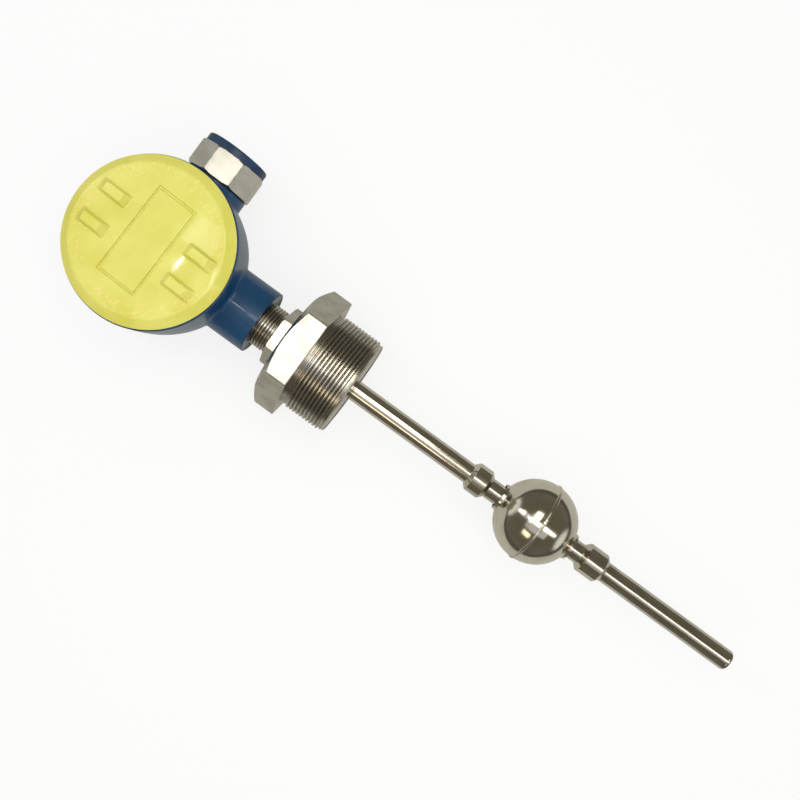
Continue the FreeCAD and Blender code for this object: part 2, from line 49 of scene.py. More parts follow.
class Wire:
    # an output socket of a node; a sum or product of wires adds its Math node
    def __init__(self, graph, socket):
        self.graph = graph
        self.socket = socket

    def maths(self, operation, *others):
        return self.graph.add("ShaderNodeMath", {"operation": operation}, [self, *others])["Value"]

    def __add__(self, other):
        return self.maths("ADD", other)

    def __sub__(self, other):
        return self.maths("SUBTRACT", other)

    def __mul__(self, other):
        return self.maths("MULTIPLY", other)

    def __truediv__(self, other):
        return self.maths("DIVIDE", other)

    def __rsub__(self, other):
        return self.graph.add("ShaderNodeMath", {"operation": "SUBTRACT"}, [other, self])["Value"]

    __radd__ = __add__
    __rmul__ = __mul__

    def ramp(self, low, high):
        # 0 below low, 1 above high, with a smooth step between them
        settings = {"interpolation_type": "SMOOTHSTEP"}
        values = {"Value": self, "From Min": low, "From Max": high}
        return self.graph.add("ShaderNodeMapRange", settings, values)["Result"]


class Part:
    # a node; its outputs are read by name as wires
    def __init__(self, graph, node):
        self.graph = graph
        self.node = node

    def __getitem__(self, name):
        return Wire(self.graph, findSocket(self.node.outputs, name))


def findSocket(sockets, name):
    if isinstance(name, int):
        return sockets[name]
    found = [s for s in sockets if s.identifier == name] or [s for s in sockets if s.name == name]
    return found[0]


class Graph:
    def __init__(self, tree):
        self.tree = tree

    def add(self, kind, settings=None, values=None):
        node = self.tree.nodes.new(kind)
        for name, value in (settings or {}).items():
            setattr(node, name, value)
        pairs = values.items() if isinstance(values, dict) else enumerate(values or [])
        for name, value in pairs:
            self.feed(findSocket(node.inputs, name), value)
        return Part(self, node)

    def feed(self, socket, value):
        if isinstance(value, list):
            for item in value:
                self.tree.links.new(item.socket, socket)
        elif isinstance(value, Wire):
            self.tree.links.new(value.socket, socket)
        elif socket.type == "RGBA":
            socket.default_value = (*value[:3], 1.0)
        else:
            socket.default_value = value

    def vector(self, operation, *values):
        node = self.add("ShaderNodeVectorMath", {"operation": operation}, list(values))
        return node["Value" if operation in ("LENGTH", "DOT_PRODUCT") else "Vector"]

    def split(self, vector):
        node = self.add("ShaderNodeSeparateXYZ", {}, [vector])
        return node["X"], node["Y"], node["Z"]

    def join(self, x, y, z):
        return self.add("ShaderNodeCombineXYZ", {}, [x, y, z])["Vector"]

    def noise(self, place, scale, detail=2.0, roughness=0.5):
        values = {"Vector": place, "Scale": scale, "Detail": detail, "Roughness": roughness}
        return self.add("ShaderNodeTexNoise", {}, values)["Fac"]

    def blend(self, factor, first, second):
        values = {"Factor_Float": factor, "A_Color": first, "B_Color": second}
        return self.add("ShaderNodeMix", {"data_type": "RGBA"}, values)["Result_Color"]

    def bump(self, height, depth, below=None):
        # depth is the height in millimetres that a change of 1 stands for
        values = {"Strength": 1.0, "Distance": depth * mm, "Height": height}
        if below is not None:
            values["Normal"] = below
        return self.add("ShaderNodeBump", {}, values)["Normal"]

    def place(self, turn=(0.0, 0.0, 0.0)):
        # object coordinates in millimetres
        where = self.add("ShaderNodeTexCoord")["Object"]
        values = {"Vector": where, "Rotation": turn, "Scale": (1 / mm, 1 / mm, 1 / mm)}
        return self.add("ShaderNodeMapping", {}, values)["Vector"]


def srgb(red, green, blue):
    # 0-255 display values to the linear values that shaders take
    shares = [value / 255 for value in (red, green, blue)]
    return tuple(s / 12.92 if s <= 0.04045 else ((s + 0.055) / 1.055) ** 2.4 for s in shares)


cameraSetup = {
    "place": (8.56, -495.25, -51.66),
    "pitch": -0.21,
    "yaw": 0.23,
    "roll": -53.96,
    "lens": 39.57,
    "sensor": 36.0,
}


def makeCamera(setup):
    pitch, yaw, roll = (math.radians(setup[key]) for key in ("pitch", "yaw", "roll"))
    ahead = Vector((math.sin(yaw) * math.cos(pitch), math.cos(yaw) * math.cos(pitch), math.sin(pitch)))
    level = ahead.cross(Vector((0, 0, 1))).normalized()
    upright = level.cross(ahead)
    right = level * math.cos(roll) + upright * math.sin(roll)
    up = upright * math.cos(roll) - level * math.sin(roll)
    data = bpy.data.cameras.new("camera")
    data.lens = setup["lens"]
    data.sensor_width = setup["sensor"]
    data.clip_start = 0.01
    obj = bpy.data.objects.new("camera", data)
    turn = Matrix((right, up, -ahead)).transposed().to_4x4()
    obj.matrix_world = Matrix.Translation(Vector(setup["place"]) * mm) @ turn
    scene.collection.objects.link(obj)
    scene.camera = obj


tableSetup = {
    "halfSize": 2500.0,
    "gap": 0.05,
    "white": (0.86, 0.86, 0.86),
    "ownLight": 0.80,             # share of the white that no shadow darkens
    "near": (0.50, 0.485, 0.40),  # painted reflection: what metal sees of the table beside the part
    "far": (0.10, 0.09, 0.07),    # and the dark painted reflection beyond its reach
    "reach": (165.0, 200.0),
    "middle": -60.0,
    "longer": 115.0,              # the near tone reaches this much further along the stem
}


def makeTable(setup):
    # the part lies on its back on a white table, one flat of the big hexagon down
    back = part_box("process_bushing")[1].y + setup["gap"] * mm
    half = setup["halfSize"] * mm
    mesh = bpy.data.meshes.new("table")
    corners = [(-half, back, -half), (half, back, -half), (half, back, half), (-half, back, half)]
    mesh.from_pydata(corners, [], [(0, 1, 2, 3)])
    obj = bpy.data.objects.new("table", mesh)
    scene.collection.objects.link(obj)
    mesh.materials.append(tableFinish(setup))


def tableFinish(setup):
    material = bpy.data.materials.new("tableWhite")
    material.use_nodes = True
    material.node_tree.nodes.clear()
    graph = Graph(material.node_tree)
    ray = graph.add("ShaderNodeLightPath")
    seen = ray["Is Camera Ray"].maths("MAXIMUM", ray["Is Glossy Ray"])
    seen = seen.maths("MAXIMUM", ray["Is Transmission Ray"])
    lit = graph.add("ShaderNodeBsdfDiffuse", {}, {"Color": setup["white"]})["BSDF"]
    x, _, z = graph.split(graph.place())
    # glossy rays see a painted reflection on the table: the near tone beside the part, dark further out
    out = x.maths("ABSOLUTE").maths("MAXIMUM", (z - setup["middle"]).maths("ABSOLUTE") - setup["longer"])
    beyond = out.ramp(*setup["reach"]) * ray["Is Glossy Ray"]
    mirrored = graph.blend(beyond, setup["near"], setup["far"])
    glow = graph.blend(ray["Is Glossy Ray"], (1.0, 1.0, 1.0), mirrored)
    own = graph.add("ShaderNodeEmission", {}, {"Color": glow, "Strength": 1.0})["Emission"]
    share = (seen * setup["ownLight"]).maths("MAXIMUM", beyond)
    top = graph.add("ShaderNodeMixShader", {}, [share, lit, own])["Shader"]
    clear = graph.add("ShaderNodeBsdfTransparent")["BSDF"]
    behind = graph.add("ShaderNodeNewGeometry")["Backfacing"].maths("MAXIMUM", ray["Is Shadow Ray"])
    whole = graph.add("ShaderNodeMixShader", {}, [behind, top, clear])["Shader"]
    graph.add("ShaderNodeOutputMaterial", {}, {"Surface": whole})
    return material


roomSetup = {
    "plain": (0.62, 0.62, 0.62),      # what lights the object evenly
    "dark": (0.135, 0.118, 0.080),    # what metal sees behind the camera
    "pale": (0.16, 0.15, 0.12),       # what metal sees near the table's plane
    "ends": (0.92, 0.90, 0.82),       # and straight up or down the stem
    "paleDepth": (-0.75, 0.1),
    "endsRise": (0.80, 0.94),
}


def makeRoom(setup):
    world = bpy.data.worlds.new("room")
    world.use_nodes = True
    world.node_tree.nodes.clear()
    scene.world = world
    graph = Graph(world.node_tree)
    ray = graph.add("ShaderNodeLightPath")
    _, depth, rise = graph.split(graph.add("ShaderNodeTexCoord")["Generated"])
    mirror = graph.blend(depth.ramp(*setup["paleDepth"]), setup["dark"], setup["pale"])
    mirror = graph.blend((rise * rise).ramp(*setup["endsRise"]), mirror, setup["ends"])
    shade = graph.blend(ray["Is Glossy Ray"], setup["plain"], mirror)
    clear = ray["Is Camera Ray"].maths("MAXIMUM", ray["Is Transmission Ray"])
    colour = graph.blend(clear, shade, (1.0, 1.0, 1.0))
    light = graph.add("ShaderNodeBackground", {}, {"Color": colour, "Strength": 1.0})["Background"]
    graph.add("ShaderNodeOutputWorld", {}, {"Surface": light})


# places and sizes are in millimetres, sizes along X and Z; glow is the brightness that metal mirrors
lampSetup = {
    "panel": {"place": (-10, -600, 84), "size": (140, 96), "glow": 4.4, "tint": (1.0, 0.99, 0.98)},
    "strip": {"place": (2, -600, -532), "size": (120, 1130), "glow": 3.0, "tint": (1.0, 0.98, 0.92)},
    "slit": {"place": (-2, -600, 163), "size": (30, 48), "glow": 16.0, "tint": (1.0, 0.98, 0.96)},
    "sheen": {"place": (4, -606, 300), "size": (180, 190), "glow": 0.5, "tint": (1.0, 1.0, 1.0)},
    "upper": {"place": (30, -600, 820), "size": (170, 800), "glow": 2.8, "tint": (1.0, 1.0, 1.0)},
    "warm": {"place": (215, -600, -28), "size": (230, 180), "glow": 4.8, "tint": (1.0, 0.94, 0.78)},
    "facet": {"place": (115, -600, 112), "size": (96, 80), "glow": 0.55, "tint": (1.0, 1.0, 1.0)},
    "cool": {"place": (-180, -600, -220), "size": (240, 760), "glow": 0.5, "tint": (0.94, 0.93, 0.98)},
    "beige": {"place": (-520, -600, -20), "size": (240, 300), "glow": 2.2, "tint": (1.0, 0.84, 0.62)},
    "glare": {"place": (32, -598, 238), "size": (36, 44), "glow": 5.0, "tint": (1.0, 1.0, 0.98)},
    "spot": {"place": (-12.0, -594, 244.2), "size": (6, 6), "glow": 120.0, "tint": (1.0, 1.0, 1.0)},
    "rear": {"place": (-150, 700, 260), "size": (500, 500), "glow": 1.6, "tint": (1.0, 1.0, 1.0)},
}


def makeLamps(setup):
    # every lamp faces the table's plane, those behind it from the other side
    for name, lamp in setup.items():
        data = bpy.data.lights.new(name, "AREA")
        disc = name == "spot"
        data.shape = "DISK" if disc else "RECTANGLE"
        data.size, data.size_y = lamp["size"][0] * mm, lamp["size"][1] * mm
        area = data.size * data.size_y * (math.pi / 4 if disc else 1.0)
        data.energy = lamp["glow"] * area * math.pi
        data.color = lamp["tint"]
        obj = bpy.data.objects.new(name, data)
        obj.location = Vector(lamp["place"]) * mm
        obj.rotation_euler = (math.radians(90 if lamp["place"][1] < 0 else -90), 0, 0)
        scene.collection.objects.link(obj)


scene.view_settings.view_transform = "Standard"
makeCamera(cameraSetup)
makeTable(tableSetup)
makeRoom(roomSetup)
makeLamps(lampSetup)
print("stage: camera, table and light made")


headHeight = (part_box("cover")[0].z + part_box("cover")[1].z) / 2 / mm
headCentre = (0.0, 0.0, headHeight)    # the axes of the cover and of the cable entry cross here
orangePeel = 0.03    # depth of the paint's ripple


def finish(name, constants):
    material = bpy.data.materials.new(name)
    material.use_nodes = True
    material.node_tree.nodes.clear()
    graph = Graph(material.node_tree)
    graph.material = material
    graph.shader = graph.add("ShaderNodeBsdfPrincipled", {}, constants)
    graph.add("ShaderNodeOutputMaterial", {}, {"Surface": graph.shader["BSDF"]})
    return graph


def coat(graph, wires):
    for name, value in wires.items():
        graph.feed(findSocket(graph.shader.node.inputs, name), value)
    return graph.material


# a paler tone and extra pimples, painted in a band inside the cover's rim
palePimpleBand = {
    "from": (32.0, 35.0),     # radii between which the band fades in, and out again
    "to": (40.5, 42.5),
    "tone": srgb(246, 222, 150),
}


def castPaint(name, deep, pale, gloss, pimpleBand=None):
    # enamel on a casting: broad shade changes, orange peel and a few dust specks under a clear gloss
    graph = finish(name, {"IOR": 1.42, "Coat Weight": gloss, "Coat Roughness": 0.05})
    place = graph.place()
    cloud = graph.noise(place, 0.05, 3.0)
    grain = graph.noise(place, 0.9, 3.0, 0.6)
    speck = graph.noise(place, 2.6, 1.0).ramp(0.70, 0.78)
    colour = graph.blend(cloud.ramp(0.32, 0.68), deep, pale)
    colour = graph.blend((grain - 0.5) * 0.5 + 0.25, colour, deep)
    colour = graph.blend(speck * 0.25, colour, pale)
    if pimpleBand:
        # a band of paler, rougher pimples inside the rim of the cover
        x, _, z = graph.split(graph.vector("SUBTRACT", place, headCentre))
        reach = graph.vector("LENGTH", graph.join(x, 0.0, z))
        band = reach.ramp(*pimpleBand["from"]) * (1.0 - reach.ramp(*pimpleBand["to"]))
        pimple = graph.noise(place, 0.55, 2.0, 0.7).ramp(0.52, 0.68) * band
        colour = graph.blend(pimple * 0.5, colour, pimpleBand["tone"])
        grain = grain + pimple * 0.6
    surface = graph.bump(graph.noise(place, 0.16, 2.0), orangePeel)
    surface = graph.bump(grain + speck * 0.4, orangePeel / 4, surface)
    return coat(graph, {"Base Color": colour, "Roughness": grain * 0.16 + 0.30, "Normal": surface})


def turnedMetal(name, colour, stain, rough, groove, axis="Z", centre=(0.0, 0.0, 0.0)):
    # lines left by the lathe run round the axis, on the ends as well as on the sides
    graph = finish(name, {"Metallic": 1.0})
    place = graph.vector("SUBTRACT", graph.place(), centre)
    x, y, z = graph.split(place)
    along, across = (z, graph.join(x, y, 0.0)) if axis == "Z" else (x, graph.join(0.0, y, z))
    reach = graph.vector("LENGTH", across)
    lines = graph.noise(graph.join(along * 3.0, reach * 3.0, 0.0), 1.0, 4.0, 0.65)
    patch = graph.noise(place, 0.12, 3.0)
    scuff = graph.noise(place, 0.9, 2.0).ramp(0.55, 0.8)
    tint = graph.blend(patch.ramp(0.35, 0.7), colour, stain)
    tint = graph.blend(lines * 0.35, tint, stain)
    shine = lines * 0.12 + patch * 0.10 + scuff * 0.06 + (rough - 0.12)
    return coat(graph, {"Base Color": tint, "Roughness": shine, "Normal": graph.bump(lines, groove)})


def polishedMetal(name, colour, stain, rough):
    # drawn and buffed: almost a mirror, with faint hairlines and handling marks
    graph = finish(name, {"Metallic": 1.0})
    place = graph.place()
    x, y, z = graph.split(place)
    hair = graph.noise(graph.join(x * 0.4, y * 0.4, z * 5.0), 1.0, 3.0, 0.6)
    smear = graph.noise(place, 0.07, 3.0, 0.6).ramp(0.42, 0.72)
    tint = graph.blend(smear, colour, stain)
    shine = hair * 0.06 + smear * 0.08 + rough
    surface = graph.bump(hair, 0.0012)
    surface = graph.bump(graph.noise(place, 0.10, 1.0), 0.03, surface)
    return coat(graph, {"Base Color": tint, "Roughness": shine, "Normal": surface})


def mouldedPlastic(name, colour, shade, rough, grain=0.01):
    graph = finish(name, {"IOR": 1.48})
    place = graph.place()
    cloud = graph.noise(place, 0.15, 2.0)
    fine = graph.noise(place, 3.0, 2.0)
    tint = graph.blend(cloud.ramp(0.3, 0.7), colour, shade)
    shine = fine * 0.15 + rough
    return coat(graph, {"Base Color": tint, "Roughness": shine, "Normal": graph.bump(fine, grain)})


def clearGlass(name, colour):
    graph = finish(name, {"IOR": 1.5, "Transmission Weight": 1.0})
    haze = graph.noise(graph.place(), 0.5, 2.0)
    tint = graph.blend(haze * 0.4, colour, (1.0, 1.0, 1.0))
    return coat(graph, {"Base Color": tint, "Roughness": haze * 0.05 + 0.02})


finishes = {
    "coverPaint": castPaint("coverPaint", srgb(215, 209, 90), srgb(226, 221, 116), 0.45, palePimpleBand),
    "housingPaint": castPaint("housingPaint", srgb(6, 58, 96), srgb(12, 70, 110), 0.35),
    "turnedSteel": turnedMetal("turnedSteel", (0.54, 0.525, 0.48), (0.43, 0.41, 0.36), 0.28, 0.006),
    "polishedSteel": polishedMetal("polishedSteel", (0.66, 0.63, 0.56), (0.52, 0.49, 0.42), 0.09),
    "nickelPlate": turnedMetal("nickelPlate", (0.68, 0.67, 0.63), (0.56, 0.55, 0.50), 0.34, 0.006,
                               "X", headCentre),
    "plugPlastic": mouldedPlastic("plugPlastic", srgb(22, 62, 96), srgb(14, 44, 76), 0.30),
    "blackRubber": mouldedPlastic("blackRubber", srgb(26, 26, 28), srgb(16, 16, 18), 0.55, 0.02),
    "terminalPlastic": mouldedPlastic("terminalPlastic", srgb(196, 192, 180), srgb(178, 174, 160), 0.45),
    "platedBrass": turnedMetal("platedBrass", (0.72, 0.60, 0.38), (0.55, 0.44, 0.26), 0.30, 0.004),
    "zincSteel": turnedMetal("zincSteel", (0.62, 0.63, 0.64), (0.50, 0.50, 0.50), 0.36, 0.004),
    "magnetFerrite": mouldedPlastic("magnetFerrite", srgb(58, 56, 56), srgb(42, 41, 42), 0.60, 0.03),
    "switchGlass": clearGlass("switchGlass", (0.82, 0.93, 0.86)),
    "stripBoard": mouldedPlastic("stripBoard", srgb(60, 118, 76), srgb(44, 92, 60), 0.50),
    "wireBrown": mouldedPlastic("wireBrown", srgb(104, 62, 38), srgb(84, 48, 30), 0.42),
    "wireBlue": mouldedPlastic("wireBlue", srgb(46, 92, 168), srgb(34, 70, 140), 0.42),
    "pottingResin": mouldedPlastic("pottingResin", srgb(34, 34, 36), srgb(22, 22, 24), 0.35),
}
print("stage:", len(finishes), "finishes made")


onAxis = 1e-6    # a radius below this is a point of the axis


def soften(corners, steps=4, closed=True):
    # corners are (x, y, radius); a corner with a radius becomes a tangent arc of that many steps
    points = []
    last = len(corners) - 1
    for k, (x, y, radius) in enumerate(corners):
        corner = Vector((x, y))
        if radius == 0 or (not closed and k in (0, last)):
            points.append(corner)
            continue
        back = (Vector(corners[k - 1][:2]) - corner).normalized()
        ahead = (Vector(corners[(k + 1) % len(corners)][:2]) - corner).normalized()
        half = back.angle(ahead) / 2
        centre = corner + (back + ahead).normalized() * (radius / math.sin(half))
        spoke = corner + back * (radius / math.tan(half)) - centre
        swing = math.pi - 2 * half
        if back.cross(ahead) > 0:
            swing = -swing
        points += [centre + Matrix.Rotation(swing * step / steps, 2) @ spoke for step in range(steps + 1)]
    return points


def refine(points, longest):
    # adds points on the long runs of a closed outline
    full = []
    for start, end in zip(points, points[1:] + points[:1]):
        parts = max(1, math.ceil((end - start).length / longest))
        full += [start.lerp(end, k / parts) for k in range(parts)]
    return full


def polygonOutline(sides, flats, turn, rounding, longest=1.4):
    # regular polygon with rounded corners; turn is the angle of one flat's normal
    reach = flats / 2 / math.cos(math.pi / sides)
    angles = [math.radians(turn) + math.pi * (2 * k + 1) / sides for k in range(sides)]
    return refine(soften([(reach * math.cos(a), reach * math.sin(a), rounding) for a in angles]), longest)


def circle(radius, height, like):
    # a ring of points at the same angles as those of an outline; on the axis it is one point
    if radius < onAxis:
        return [Vector((0, 0, height))]
    return [Vector((*(point.normalized() * radius), height)) for point in like]


def evenAngles(count):
    angles = [2 * math.pi * k / count for k in range(count)]
    return [Vector((math.cos(a), math.sin(a))) for a in angles]


def skin(mesh, loops, wrap=False):
    # joins each loop of points to the next; a loop of one point is a pole
    rows = [[mesh.verts.new(point) for point in loop] for loop in loops]
    pairs = list(zip(rows, rows[1:]))
    if wrap:
        pairs.append((rows[-1], rows[0]))
    for first, second in pairs:
        for k in range(max(len(first), len(second))):
            corners = [first[k % len(first)], first[(k + 1) % len(first)],
                       second[(k + 1) % len(second)], second[k % len(second)]]
            mesh.faces.new(dict.fromkeys(corners))
    return rows


def lathe(outline, count=128):
    # turns (radius, height) points about Z; an outline off the axis closes on itself
    mesh = bmesh.new()
    like = evenAngles(count)
    skin(mesh, [circle(radius, height, like) for radius, height in outline], wrap=outline[0][0] >= onAxis)
    return mesh


def bevelledPrism(outline, low, high, foot, slope, edge, lowBevel):
    # loops up a prism whose corners are cut by a cone that starts at radius foot
    def level(height, inset, sign, cut):
        loop = []
        for point in outline:
            drop = max(0.0, point.length - foot) * slope if cut else 0.0
            loop.append(Vector((*(point * (1 - inset / point.length)), height - sign * drop)))
        return loop

    def rim(height):
        return [Vector((*(p.normalized() * min(p.length - edge, foot)), height)) for p in outline]

    return [
        rim(low) if lowBevel else level(low, edge, 0, False),
        level(low + edge, 0.0, -1, lowBevel),
        level(high - edge, 0.0, 1, True),
        level(high - edge * 0.3, edge * 0.3, 1, True),
        level(high, edge, 1, True),
        rim(high),
    ]


def objectFrom(name, mesh):
    data = bpy.data.meshes.new(name)
    mesh.to_mesh(data)
    mesh.free()
    obj = bpy.data.objects.new(name, data)
    scene.collection.objects.link(obj)
    return obj


def bake(obj):
    # the evaluated mesh takes the place of the mesh and its modifiers
    data = bpy.data.meshes.new_from_object(obj.evaluated_get(bpy.context.evaluated_depsgraph_get()))
    obj.modifiers.clear()
    obj.data = data


def settle(obj, body, finishName, replaced, place=None, crease=32.0):
    # closes and orients the mesh, puts it in the frame in metres and hands it to its body
    mesh = bmesh.new()
    mesh.from_mesh(obj.data)
    bmesh.ops.remove_doubles(mesh, verts=mesh.verts, dist=1e-4)
    bmesh.ops.recalc_face_normals(mesh, faces=mesh.faces)
    bmesh.ops.transform(mesh, matrix=Matrix.Scale(mm, 4) @ (place or Matrix()), verts=mesh.verts)
    mesh.to_mesh(obj.data)
    mesh.free()
    obj.data.shade_smooth()
    obj.data.set_sharp_from_angle(angle=math.radians(crease))
    normals = obj.modifiers.new("normals", "WEIGHTED_NORMAL")
    normals.keep_sharp = True
    bake(obj)
    obj.data.materials.clear()
    obj.data.materials.append(finishes[finishName])
    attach(obj, body)
    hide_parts(*replaced)


def span(node):
    low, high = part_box(node)
    return low / mm, high / mm


onHead = Matrix.Translation((0, 0, headHeight)) @ Matrix.Rotation(math.radians(90), 4, "X")
onEntry = Matrix.Translation((0, 0, headHeight)) @ Matrix.Rotation(math.radians(90), 4, "Y")


# a helical thread is grown round a plain core
ridge = {
    "crestHalf": 0.19,    # half widths of the flat crest and of the foot, as shares of the pitch
    "footHalf": 0.49,
    "sunk": 0.25,         # how far the ridge reaches into the core
    "join": 0.002,
}


def threadTree(setup):
    tree = bpy.data.node_groups.new("helicalThread", "GeometryNodeTree")
    tree.interface.new_socket("Core", in_out="INPUT", socket_type="NodeSocketGeometry")
    for name in ("Crest Radius", "Depth", "Pitch", "Start", "Turns", "Steps", "End", "End Radius"):
        tree.interface.new_socket(name, in_out="INPUT", socket_type="NodeSocketFloat")
    tree.interface.new_socket("Material", in_out="INPUT", socket_type="NodeSocketMaterial")
    tree.interface.new_socket("Geometry", in_out="OUTPUT", socket_type="NodeSocketGeometry")
    graph = Graph(tree)
    given = graph.add("NodeGroupInput")
    turns, pitch, depth = given["Turns"], given["Pitch"], given["Depth"]
    crest = given["Crest Radius"]
    # a strip of six rows: two at the crest, two at the root and two that meet below the root
    sizes = {"Size X": turns, "Size Y": 5.0, "Vertices X": turns * given["Steps"] + 1.0, "Vertices Y": 6}
    strip = graph.add("GeometryNodeMeshGrid", {}, sizes)["Mesh"]
    x, y, _ = graph.split(graph.add("GeometryNodeInputPosition")["Position"])
    turn = x + turns / 2.0
    row = y.maths("ABSOLUTE")
    onCrest = row.maths("LESS_THAN", 1.0)
    onRoot = row.maths("LESS_THAN", 2.0) - onCrest
    fade = turn.maths("MINIMUM", turns - turn).maths("MINIMUM", 1.0)
    sunk = setup["sunk"]
    lift = onCrest * (depth + sunk) + onRoot * sunk
    spread = (onCrest * setup["crestHalf"] + onRoot * setup["footHalf"]) * pitch * y.maths("SIGN")
    height = given["Start"] - turn * pitch + spread * fade
    radius = crest - depth - sunk + lift * fade
    # the end of the thread is cut to a chamfer of 45 degrees
    radius = radius.maths("MINIMUM", given["End Radius"] + (height - given["End"]))
    angle = turn * (2 * math.pi)
    place = graph.join(radius * angle.maths("COSINE"), radius * angle.maths("SINE"), height)
    strip = graph.add("GeometryNodeSetPosition", {}, {"Geometry": strip, "Position": place})["Geometry"]
    values = {"Geometry": strip, "Distance": setup["join"]}
    strip = graph.add("GeometryNodeMergeByDistance", {}, values)["Geometry"]
    whole = graph.add("GeometryNodeJoinGeometry", {}, {"Geometry": [strip, given["Core"]]})["Geometry"]
    whole = graph.add("GeometryNodeRealizeInstances", {}, {"Geometry": whole})["Geometry"]
    values = {"Geometry": whole, "Material": given["Material"]}
    whole = graph.add("GeometryNodeSetMaterial", {}, values)["Geometry"]
    graph.add("NodeGroupOutput", {}, {"Geometry": whole})
    return tree


helicalThread = threadTree(ridge)


def grow(obj, tree, values):
    modifier = obj.modifiers.new(tree.name, "NODES")
    modifier.node_group = tree
    keys = {item.name: item.identifier for item in tree.interface.items_tree if item.in_out == "INPUT"}
    for name, value in values.items():
        modifier[keys[name]] = value
    bake(obj)


bushing = {
    "flats": 66.5,
    "hexHeight": 16.0,
    "corner": 0.7,          # rounding of the six upright edges
    "edge": 0.35,
    "bevelRadius": 32.0,    # the round end face; the wide bevel falls away outside it
    "bevelAngle": 30.0,
    "threadDiameter": 60.3,
    "threadPitch": 2.209,   # 11.5 threads to the inch
    "threadDepth": 1.35,
    "endChamfer": 1.2,
    "bore": 6.0,
    "socket": 13.2,
    "socketFloor": 3.0,
    "socketChamfer": 0.8,
    "relief": 0.9,
    "threadSteps": 120.0,
}


def makeBushing(setup):
    low = span("process_bushing")[0]
    crest = setup["threadDiameter"] / 2
    root = crest - setup["threadDepth"]
    outline = polygonOutline(6, setup["flats"], 90.0, setup["corner"])
    slope = math.tan(math.radians(setup["bevelAngle"]))
    top = setup["hexHeight"]
    hexLoops = bevelledPrism(outline, 0.0, top, setup["bevelRadius"], slope, setup["edge"], False)
    endRadius = crest - setup["endChamfer"]
    relief, bore = setup["relief"], setup["bore"]
    socket, floor, chamfer = setup["socket"], setup["socketFloor"], setup["socketChamfer"]
    # the core under the hexagon, then up through the bore and the socket
    below = soften([
        (root - 0.1, -0.01, 0), (root - 0.1, -relief, 0.4), (root, -relief - 0.4, 0.2),
        (root, low.z + root - endRadius, 0.3), (endRadius, low.z, 0.3), (bore, low.z, 0), (bore, floor, 0),
        (socket, floor, 0), (socket, top - chamfer, 0), (socket + chamfer, top, 0),
    ], 3, False)
    mesh = bmesh.new()
    skin(mesh, hexLoops[::-1] + [circle(x, y, outline) for x, y in below], wrap=True)
    obj = objectFrom("processBushing", mesh)
    grow(obj, helicalThread, {
        "Crest Radius": crest, "Depth": setup["threadDepth"], "Pitch": setup["threadPitch"],
        "Start": -relief, "Turns": (-low.z - relief) / setup["threadPitch"] - 0.15,
        "Steps": setup["threadSteps"], "End": low.z, "End Radius": endRadius,
        "Material": finishes["turnedSteel"],
    })
    settle(obj, "head_and_stem", "turnedSteel", ["process_bushing"])


nipple = {
    "flats": 31.8,
    "hexTop": 23.7,
    "corner": 0.4,
    "edge": 0.25,
    "bevelRadius": 17.5,
    "bevelAngle": 30.0,
    "threadDiameter": 26.4,
    "threadPitch": 1.814,   # 14 threads to the inch
    "threadDepth": 1.1,
    "bore": 8.0,
    "chamfer": 1.2,
    "threadSteps": 96.0,
}


def makeNipple(setup):
    low, high = span("hex_nipple")
    crest = setup["threadDiameter"] / 2
    root = crest - setup["threadDepth"]
    seat = bushing["hexHeight"]
    outline = polygonOutline(6, setup["flats"], 90.0, setup["corner"], 1.0)
    slope = math.tan(math.radians(setup["bevelAngle"]))
    top = setup["hexTop"]
    hexLoops = bevelledPrism(outline, seat, top, setup["bevelRadius"], slope, setup["edge"], True)
    chamfer = setup["chamfer"]
    # the threaded shank above the hexagon, then down through the bore and up the part in the socket
    above = [(root, top), (root, high.z - chamfer), (root - chamfer, high.z), (setup["bore"], high.z),
             (setup["bore"], low.z), (crest - chamfer, low.z), (crest, low.z + chamfer), (crest, seat)]
    mesh = bmesh.new()
    skin(mesh, hexLoops + [circle(x, y, outline) for x, y in above], wrap=True)
    obj = objectFrom("hexNipple", mesh)
    grow(obj, helicalThread, {
        "Crest Radius": crest, "Depth": setup["threadDepth"], "Pitch": setup["threadPitch"],
        "Start": high.z - 0.4, "Turns": (high.z - top - 0.6) / setup["threadPitch"],
        "Steps": setup["threadSteps"], "End": seat, "End Radius": crest,
        "Material": finishes["turnedSteel"],
    })
    settle(obj, "head_and_stem", "turnedSteel", ["hex_nipple"])


makeBushing(bushing)
makeNipple(nipple)
print("stage: process connection made")


stem = {
    "wall": 1.0,
    "mouthBreak": 0.3,
    "weldWidth": 0.5,       # groove of the weld round the end plug
    "weldDepth": 0.12,
    "plugGap": 0.02,
    "noseRound": 1.8,
}


def makeStem(setup):
    low, high = span("stem_tube")
    radius = high.x
    inner = radius - setup["wall"]
    tube = soften([
        (inner, low.z, 0), (radius, low.z, 0.1), (radius, high.z, setup["mouthBreak"]), (inner, high.z, 0),
    ])
    settle(objectFrom("stemTube", lathe(tube, 96)), "head_and_stem", "polishedSteel",
           ["stem_tube"])
    end, top = span("stem_end_plug")
    width, depth, gap = setup["weldWidth"], setup["weldDepth"], setup["plugGap"]
    plug = soften([
        (0, end.z, 0), (radius, end.z, setup["noseRound"]), (radius, low.z - width, 0.1),
        (radius - depth, low.z - width / 2, 0.2), (radius - gap, low.z - gap, 0),
        (inner - gap, low.z - gap, 0), (inner - gap, top.z, 0), (0, top.z, 0),
    ], 5, False)
    settle(objectFrom("stemEndPlug", lathe(plug, 96)), "head_and_stem", "polishedSteel",
           ["stem_end_plug"])


collar = {
    "chamfer": 2.4,
    "edge": 0.25,
    "screwDiameter": 3.0,
    "screwMouth": 0.25,
}


